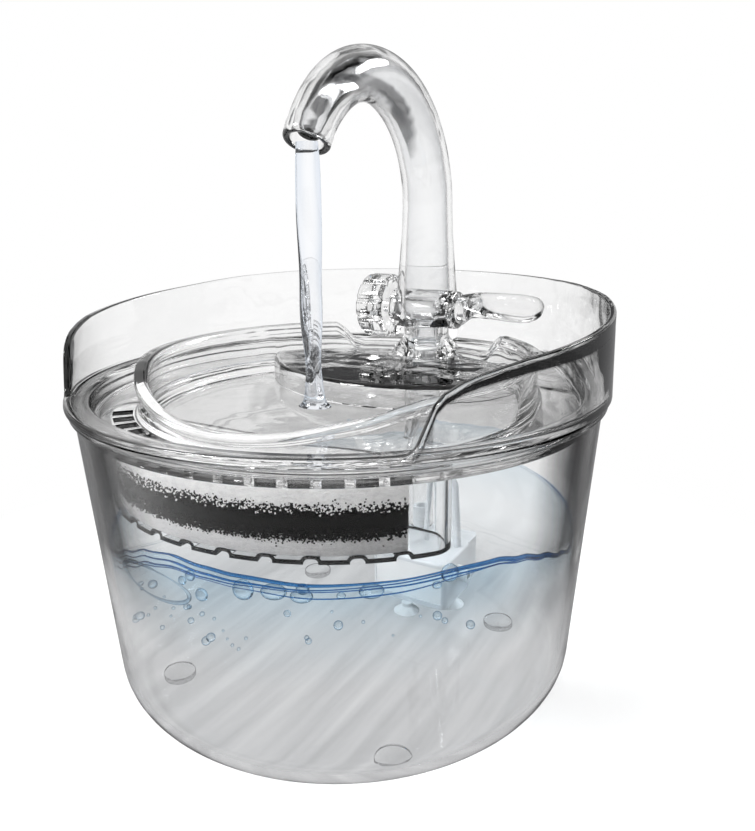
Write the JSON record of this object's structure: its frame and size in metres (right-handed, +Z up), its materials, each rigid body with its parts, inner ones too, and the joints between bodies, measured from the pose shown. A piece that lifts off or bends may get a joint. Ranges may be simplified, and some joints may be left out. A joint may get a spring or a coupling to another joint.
{
  "type": "pet water fountain",
  "caption": "Clear round tank with a drinking tray lid, crescent filter, submersible pump and a faucet-shaped gooseneck spout.",
  "frame": {"origin": "on the ground below the centre of the round tank", "axes": "+Z up; the low drinking side faces -Y and the faucet stands at +Y"},
  "size_m": [0.182, 0.1819, 0.2193],
  "materials": {
    "clear_plastic": "clear moulded plastic",
    "white_plastic": "white moulded plastic",
    "soft_clear": "clear soft vinyl",
    "cotton": "white filter cotton",
    "carbon": "black activated carbon granules",
    "mesh": "pale filter mesh",
    "foam": "dark open foam",
    "magnet": "ferrite magnet",
    "steel": "stainless steel",
    "laminate": "electrical steel",
    "copper": "enamelled copper",
    "resin": "potting resin",
    "seal": "silicone rubber"
  },
  "bodies": {
    "tank": {"water_tank": "clear_plastic", "foot_pads": "clear_plastic", "pump_housing": "white_plastic", "pump_chamber": "white_plastic", "pump_intake_cap": "white_plastic", "pump_intake_foam": "foam", "impeller_shaft": "steel", "shaft_bush": "seal", "stator_core": "laminate", "stator_coil": "copper", "potting_resin": "resin", "suction_cups": "seal", "pump_bail": "white_plastic", "cord_gland": "seal", "riser_tube": "soft_clear"},
    "lid": {"lid_tray": "clear_plastic"},
    "filter": {"filter_box": "clear_plastic", "filter_base_layer": "mesh", "filter_carbon": "carbon", "filter_cotton": "cotton"},
    "faucet": {"faucet_spout": "clear_plastic", "spout_seal_ring": "seal"},
    "handle": {"handle_spindle": "clear_plastic", "handle_knob": "clear_plastic", "handle_lever": "clear_plastic"},
    "rotor": {"rotor_magnet": "magnet", "impeller": "white_plastic"}
  },
  "joints": [
    {"name": "lid_lift", "type": "slide", "parent": "tank", "child": "lid", "axis": [0, 0, 1], "range_m": [0, 0.07]},
    {"name": "filter_release", "type": "slide", "parent": "lid", "child": "filter", "axis": [0, 0, -1], "range_m": [0, 0.03]},
    {"name": "faucet_lift", "type": "slide", "parent": "lid", "child": "faucet", "axis": [0, 0, 1], "range_m": [0, 0.03]},
    {"name": "handle_turn", "type": "hinge", "parent": "faucet", "child": "handle", "pos_m": [0, 0.066, 0.1255], "axis": [1, 0, 0], "range_deg": [-38, 50]},
    {"name": "impeller_spin", "type": "hinge", "parent": "tank", "child": "rotor", "pos_m": [0.009, 0.055, 0.018], "axis": [0, 1, 0], "continuous": true}
  ]
}
